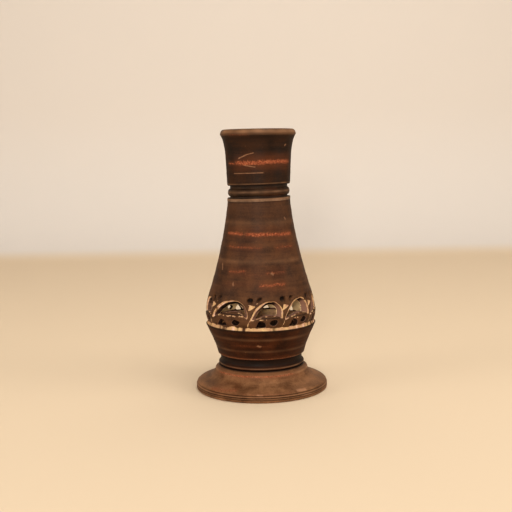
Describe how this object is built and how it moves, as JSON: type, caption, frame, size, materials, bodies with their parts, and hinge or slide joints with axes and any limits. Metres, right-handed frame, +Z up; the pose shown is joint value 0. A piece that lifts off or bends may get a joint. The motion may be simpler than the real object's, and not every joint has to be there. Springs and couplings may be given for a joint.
{
  "type": "openwork footed clay pot",
  "caption": "Slender dark clay pot on a flared foot, with a waist, a bowl, a belt pierced with a vine scroll, a tall cone and a flared neck.",
  "frame": {"origin": "middle of the flat ring under the foot, on the pot's turning axis", "axes": "+Z up along the turning axis, towards the mouth; the belt's scroll is read from -Y"},
  "size_m": [0.0766, 0.0766, 0.15],
  "materials": {
    "burnished_clay_foot": "burnished dark brown clay, rubbed lighter on top",
    "burnished_clay_waist": "burnished dark brown clay",
    "burnished_clay_bowl": "burnished dark brown clay",
    "carved_clay_belt": "dark burnished skin with carved faces of bare, pale clay",
    "burnished_clay_cone": "burnished dark brown clay with rubbed orange rings",
    "burnished_clay_collar": "burnished dark brown clay",
    "burnished_clay_ring": "burnished dark brown clay",
    "burnished_clay_neck": "burnished dark brown clay with rubbed orange rings"
  },
  "bodies": {
    "root": {"foot": "burnished_clay_foot", "waist": "burnished_clay_waist", "lower_bowl": "burnished_clay_bowl", "pierced_belt": "carved_clay_belt", "upper_cone": "burnished_clay_cone", "collar": "burnished_clay_collar", "neck_ring": "burnished_clay_ring", "neck": "burnished_clay_neck"}
  },
  "joints": []
}
